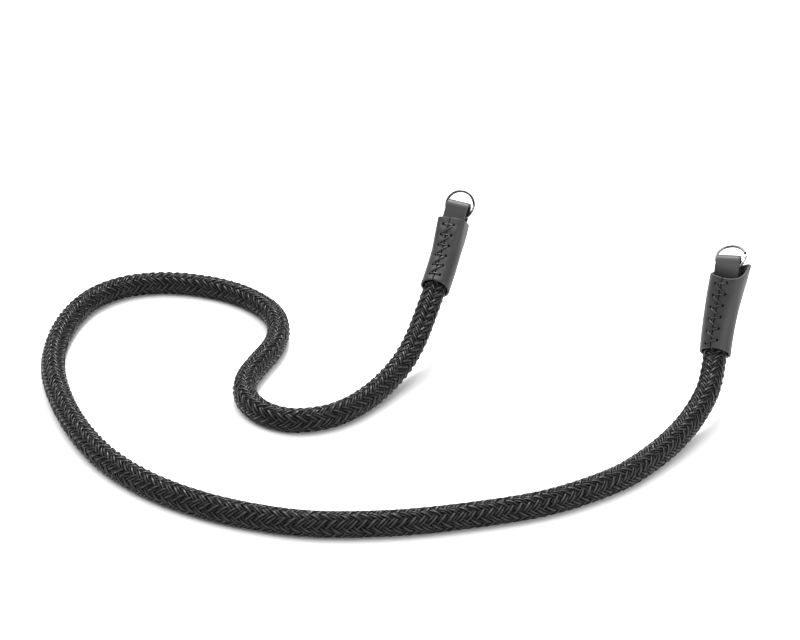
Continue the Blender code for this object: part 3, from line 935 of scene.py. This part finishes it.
def make_sleeve(side, end):
    """Leather wrapped round the rope's end, its softened edges meeting at a laced seam."""
    mesh_data = bmesh.new()
    edge_layer = mesh_data.verts.layers.float.new("cut_edge")
    half_gap = SEAM_GAP / 2 / SLEEVE_R
    round_count, down_count = 92, 44
    outline = wall_outline(down_count, SLEEVE_WALL, LEATHER_EDGE_R)
    holes = [on_sleeve(end, down, angle) for pair in hole_places(end) for down, angle in pair]
    columns = []
    for off in seam_steps(half_gap, LEATHER_EDGE_R, round_count):
        drawn = seam_inset(off, half_gap, LEATHER_EDGE_R)
        column = []
        for spot, cut in sleeve_column(end, math.radians(end["seam"]) + off, drawn, outline, holes):
            vert = mesh_data.verts.new(spot)
            vert[edge_layer] = cut
            column.append(vert)
        columns.append(column)
    count = len(outline)
    for left, right in zip(columns, columns[1:]):
        for i in range(count):
            k = (i + 1) % count
            mesh_data.faces.new((left[i], right[i], right[k], left[k]))
    for column in (columns[0], columns[-1]):
        for i in range(count // 2 - 1):
            mesh_data.faces.new((column[i], column[i + 1], column[count - 2 - i], column[count - 1 - i]))
    sleeve = finished_piece("leather_sleeve_" + side, mesh_data, "strap_leather")
    punch = make_hole_punch(side, end)
    cut = sleeve.modifiers.new("Lacing Holes", "BOOLEAN")
    cut.operation = "DIFFERENCE"
    cut.object = punch
    plain_mesh(sleeve)
    bpy.data.objects.remove(punch)
    smooth_but_for_edges(sleeve, math.radians(55))
    dress(sleeve, "leather", "sleeve_" + side)


def make_hole_punch(side, end):
    """The pins that cut the lacing holes through the sleeve's wall, square to its surface."""
    pins = bmesh.new()
    for pair in hole_places(end):
        for down, angle in pair:
            start = on_sleeve(end, down, angle, -2 * SLEEVE_WALL)
            stop = on_sleeve(end, down, angle, SLEEVE_WALL)
            along = stop - start
            turn = along.to_track_quat("Z", "Y").to_matrix().to_4x4()
            bmesh.ops.create_cone(
                pins, cap_ends=True, segments=18, radius1=HOLE_D / 2, radius2=HOLE_D / 2,
                depth=along.length, matrix=Matrix.Translation((start + stop) / 2) @ turn)
    mesh = bpy.data.meshes.new("punch_" + side)
    pins.to_mesh(mesh)
    pins.free()
    return link_mesh("punch_" + side, mesh)


def loop_profile():
    """The loop's centre line as (down, back) pairs: up the front leg, over the fold, down the back leg."""
    middle = TAB_GAP / 2 + TAB_T / 2
    fold_down = -(TAB_RISE - TAB_HALF_DEPTH)
    steps = 12
    leg = [TAB_LEG + (fold_down - TAB_LEG) * i / steps for i in range(steps)]
    line = [(down, -middle) for down in leg]
    turns = 28
    for i in range(turns + 1):
        angle = math.pi * i / turns
        line.append((fold_down - middle * math.sin(angle), -middle * math.cos(angle)))
    return line + [(down, middle) for down in reversed(leg)]


def strip_outline():
    """The strip's rounded section as (across, out, cut edge) rows."""
    half_w, half_t, r = TAB_W / 2, TAB_T / 2, LEATHER_EDGE_R
    arc_steps, face_steps = 4, 14
    corners = []
    for i, (x, y) in enumerate(((1, 1), (-1, 1), (-1, -1), (1, -1))):
        for j in range(arc_steps + 1):
            turn = math.pi / 2 * (i + j / arc_steps)
            corners.append((x * (half_w - r) + r * math.cos(turn), y * (half_t - r) + r * math.sin(turn)))
    rows = []
    for a, b in zip(corners, corners[1:] + corners[:1]):
        gap = math.hypot(b[0] - a[0], b[1] - a[1])
        fill = face_steps if gap > half_w else 1
        rows += [(a[0] + (b[0] - a[0]) * k / fill, a[1] + (b[1] - a[1]) * k / fill) for k in range(fill)]
    cut_from, cut_width = half_w - 0.8 * r, 0.6 * r
    return [(x, y, ease((abs(x) - cut_from) / cut_width)) for x, y in rows]


def make_loop(side, end):
    """A leather strip folded into a loop, with both legs down inside the sleeve's mouth."""
    mesh_data = bmesh.new()
    edge_layer = mesh_data.verts.layers.float.new("cut_edge")
    line = loop_profile()
    outline = strip_outline()
    pose = end_pose(end)
    rings = []
    for i, (down, back) in enumerate(line):
        before, after = Vector(line[max(0, i - 1)]), Vector(line[min(len(line) - 1, i + 1)])
        along = (after - before).normalized()
        outward = Vector((along.y, -along.x))
        ring = []
        for across, out, cut in outline:
            spot = Vector((down, back)) + outward * out
            vert = mesh_data.verts.new(pose @ place_in_loop(end, spot.x, across, spot.y))
            vert[edge_layer] = cut
            ring.append(vert)
        rings.append(ring)
    close_tube(mesh_data, rings)
    loop = finished_piece("leather_loop_" + side, mesh_data, "strap_leather")
    smooth_but_for_edges(loop, math.radians(60))
    dress(loop, "leather", "tab_" + side)


def ring_pose(end):
    """Where the split ring hangs in its loop."""
    tip = math.radians(end["ring_tip"])
    centre_down = end["ring_drop"] - TAB_RISE - RING_R * math.cos(tip)
    centre = place_in_loop(end, centre_down, end["ring_side"], end["ring_back"] + RING_R * math.sin(tip))
    return (
        end_pose(end)
        @ Matrix.Translation(centre)
        @ Matrix.Rotation(math.radians(-end["loop_turn"]), 4, "Y")
        @ Matrix.Rotation(math.radians(-end["loop_lean"]), 4, "X")
        @ Matrix.Rotation(RING_TURN, 4, "Z")
        @ Matrix.Rotation(-tip, 4, "X")
    )


def rounded(share):
    """A sine or cosine drawn out, so that it makes a flat wire's rounded section."""
    return math.copysign(abs(share) ** RING_ROUNDING, share)


def make_ring(side, end):
    """A split ring: flattened polished wire that goes twice round, stepping across between its turns."""
    mesh_data = bmesh.new()
    lift = (RING_WIRE_T + RING_TURN_GAP) / 2
    first = RING_CROSSING / 2
    last = 4 * math.pi - RING_CROSSING / 2
    count, corners = 220, 16
    pose = ring_pose(end)
    rings = []
    for i in range(count + 1):
        angle = first + (last - first) * i / count
        step = ease((angle - 2 * math.pi + RING_CROSSING / 2) / RING_CROSSING)
        shift = -lift + 2 * lift * step
        outward = Vector((math.cos(angle), 0.0, math.sin(angle)))
        ring = []
        for j in range(corners):
            turn = 2 * math.pi * (j + 0.5) / corners
            radial = RING_WIRE_W / 2 * rounded(math.cos(turn))
            axial = RING_WIRE_T / 2 * rounded(math.sin(turn))
            spot = outward * (RING_R + radial) + Vector((0.0, shift + axial, 0.0))
            ring.append(mesh_data.verts.new(pose @ spot))
        rings.append(ring)
    close_tube(mesh_data, rings)
    ring = finished_piece("split_ring_" + side, mesh_data, "polished_steel")
    smooth_but_for_edges(ring, math.radians(50))
    dress(ring, "ring", "ring_" + side)


def stitch_line(end, start, stop, lift):
    """A stitch from one hole to another over the leather's face, out at the holes' inner sides."""
    radius = sizes().thread_diameter / 2
    deep = STITCH_DEPTH * SLEEVE_WALL
    steps, per_span = 8, 4
    shy = STITCH_SHY * HOLE_D / (on_sleeve(end, *start) - on_sleeve(end, *stop)).length
    points = [on_sleeve(end, *start, -deep)]
    for i in range(steps + 1):
        share = shy + (1 - 2 * shy) * i / steps
        down = start[0] + (stop[0] - start[0]) * share
        angle = start[1] + (stop[1] - start[1]) * share
        arch = math.sqrt(math.sin(math.pi * i / steps))
        out = -STITCH_SUNK * radius + ((2 - STITCH_SUNK) * radius + lift) * arch
        points.append(on_sleeve(end, down, angle, out))
    points.append(on_sleeve(end, *stop, -deep))
    return smooth_line(points, per_span)


def make_lacing(side, end):
    """Waxed thread that crosses from hole to hole over the seam."""
    pairs = hole_places(end)
    over, under = (1, 0) if end["lacing_hand"] > 0 else (0, 1)
    radius = sizes().thread_diameter / 2
    lines = [stitch_line(end, left, right, 0.0) for left, right in pairs]
    for above, below in zip(pairs, pairs[1:]):
        lines.append(stitch_line(end, above[over], below[under], STITCH_RIDE * radius))
    thread = line_mesh("lacing_thread_" + side, lines)
    tree = make_thread_tree(finish_named("waxed_thread"))
    apply_shape_tree(thread, tree, {"Thread Radius": radius, "Corners": THREAD_CORNERS})
    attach(thread, BODY)


def make_camera():
    """The camera at the photograph's angle."""
    forward = Vector((-math.sin(CAMERA_YAW) * math.cos(CAMERA_PITCH),
                      math.cos(CAMERA_YAW) * math.cos(CAMERA_PITCH), -math.sin(CAMERA_PITCH)))
    level = Vector((math.cos(CAMERA_YAW), math.sin(CAMERA_YAW), 0.0))
    upright = level.cross(forward)
    right = level * math.cos(CAMERA_ROLL) + upright * math.sin(CAMERA_ROLL)
    up = upright * math.cos(CAMERA_ROLL) - level * math.sin(CAMERA_ROLL)
    turn = Matrix((right, up, -forward)).transposed()
    data = bpy.data.cameras.new("camera")
    data.lens = CAMERA_LENS_MM
    data.sensor_fit = "HORIZONTAL"
    data.sensor_width = CAMERA_SENSOR_MM
    data.clip_start = 0.01
    camera = bpy.data.objects.new("camera", data)
    camera.matrix_world = Matrix.Translation(CAMERA_AT) @ turn.to_4x4()
    bpy.context.scene.collection.objects.link(camera)
    bpy.context.scene.camera = camera


def make_light(name, place, target, size, power):
    """A soft studio panel that faces a point."""
    data = bpy.data.lights.new(name, "AREA")
    data.shape = "DISK"
    data.size = size
    data.energy = power
    light = bpy.data.objects.new(name, data)
    aim = Vector(target) - Vector(place)
    light.matrix_world = Matrix.Translation(place) @ aim.to_track_quat("-Z", "Y").to_matrix().to_4x4()
    bpy.context.scene.collection.objects.link(light)


def make_top_light():
    """The broad even light from above that makes the floor white."""
    data = bpy.data.lights.new("top_light", "SUN")
    data.energy = TOP_LIGHT_STRENGTH
    data.angle = TOP_LIGHT_SPREAD
    light = bpy.data.objects.new("top_light", data)
    light.matrix_world = Vector(TOP_LIGHT_FROM).to_track_quat("Z", "Y").to_matrix().to_4x4()
    bpy.context.scene.collection.objects.link(light)


def make_floor():
    """The level surface that the rope lies on."""
    mesh = bpy.data.meshes.new("floor")
    corners = []
    for x, y in ((-1, -1), (1, -1), (1, 1), (-1, 1)):
        corners.append((x * FLOOR_REACH, y * FLOOR_REACH, -FLOOR_DROP))
    mesh.from_pydata(corners, [], [(0, 1, 2, 3)])
    floor = link_mesh("floor", mesh)
    mesh.materials.append(make_floor_material())


def make_world():
    """An even white surround."""
    world = bpy.data.worlds.new("studio")
    world.use_nodes = True
    background = world.node_tree.nodes["Background"]
    background.inputs["Color"].default_value = (1.0, 1.0, 1.0, 1.0)
    background.inputs["Strength"].default_value = SURROUND_STRENGTH
    bpy.context.scene.world = world
    bpy.context.scene.view_settings.view_transform = "Standard"


class STRAP_OT_stage(bpy.types.Operator):
    """Set up the camera, the floor and the soft studio lights"""
    bl_idname = "strap.stage"
    bl_label = "Stage"

    def execute(self, context):
        make_camera()
        make_world()
        make_floor()
        for name, place, width, power in STUDIO_PANELS:
            make_light(name, place, PANELS_FACE, width, power)
        make_top_light()
        return {"FINISHED"}


class STRAP_OT_rope(bpy.types.Operator):
    """Braid the rope along its route"""
    bl_idname = "strap.rope"
    bl_label = "Braided Rope"

    def execute(self, context):
        make_rope()
        return {"FINISHED"}


class STRAP_OT_sleeves(bpy.types.Operator):
    """Wrap the two leather sleeves and punch their holes"""
    bl_idname = "strap.sleeves"
    bl_label = "Leather Sleeves"

    def execute(self, context):
        for side, end in ENDS.items():
            make_sleeve(side, end)
        return {"FINISHED"}


class STRAP_OT_loops(bpy.types.Operator):
    """Fold the two leather loops"""
    bl_idname = "strap.loops"
    bl_label = "Leather Loops"

    def execute(self, context):
        for side, end in ENDS.items():
            make_loop(side, end)
        return {"FINISHED"}


class STRAP_OT_rings(bpy.types.Operator):
    """Wind the two split rings"""
    bl_idname = "strap.rings"
    bl_label = "Split Rings"

    def execute(self, context):
        for side, end in ENDS.items():
            make_ring(side, end)
        return {"FINISHED"}


class STRAP_OT_lacing(bpy.types.Operator):
    """Lace both sleeves with waxed thread"""
    bl_idname = "strap.lacing"
    bl_label = "Lacing"

    def execute(self, context):
        for side, end in ENDS.items():
            make_lacing(side, end)
        return {"FINISHED"}


STEPS = (STRAP_OT_stage, STRAP_OT_rope, STRAP_OT_sleeves, STRAP_OT_loops, STRAP_OT_rings, STRAP_OT_lacing)


class STRAP_PT_pieces(bpy.types.Panel):
    """The strap's sizes, colours and pieces"""
    bl_idname = "STRAP_PT_pieces"
    bl_label = "Rope Strap"
    bl_space_type = "VIEW_3D"
    bl_region_type = "UI"
    bl_category = "Rope Strap"

    def draw(self, context):
        for group in (context.scene.strap_sizes, context.scene.strap_colours):
            for name in group.__annotations__:
                self.layout.prop(group, name)
        for step in STEPS:
            self.layout.operator(step.bl_idname)


CLASSES = (StrapSizes, StrapColours, *STEPS, STRAP_PT_pieces)


def register():
    for each in CLASSES:
        bpy.utils.register_class(each)
    bpy.types.Scene.strap_sizes = bpy.props.PointerProperty(type=StrapSizes)
    bpy.types.Scene.strap_colours = bpy.props.PointerProperty(type=StrapColours)


def unregister():
    del bpy.types.Scene.strap_colours
    del bpy.types.Scene.strap_sizes
    for each in reversed(CLASSES):
        bpy.utils.unregister_class(each)


def main():
    register()
    bpy.ops.strap.stage()
    bpy.ops.strap.rope()
    bpy.ops.strap.sleeves()
    bpy.ops.strap.loops()
    bpy.ops.strap.rings()
    bpy.ops.strap.lacing()
    bpy.context.view_layer.update()


if __name__ == "__main__":
    main()
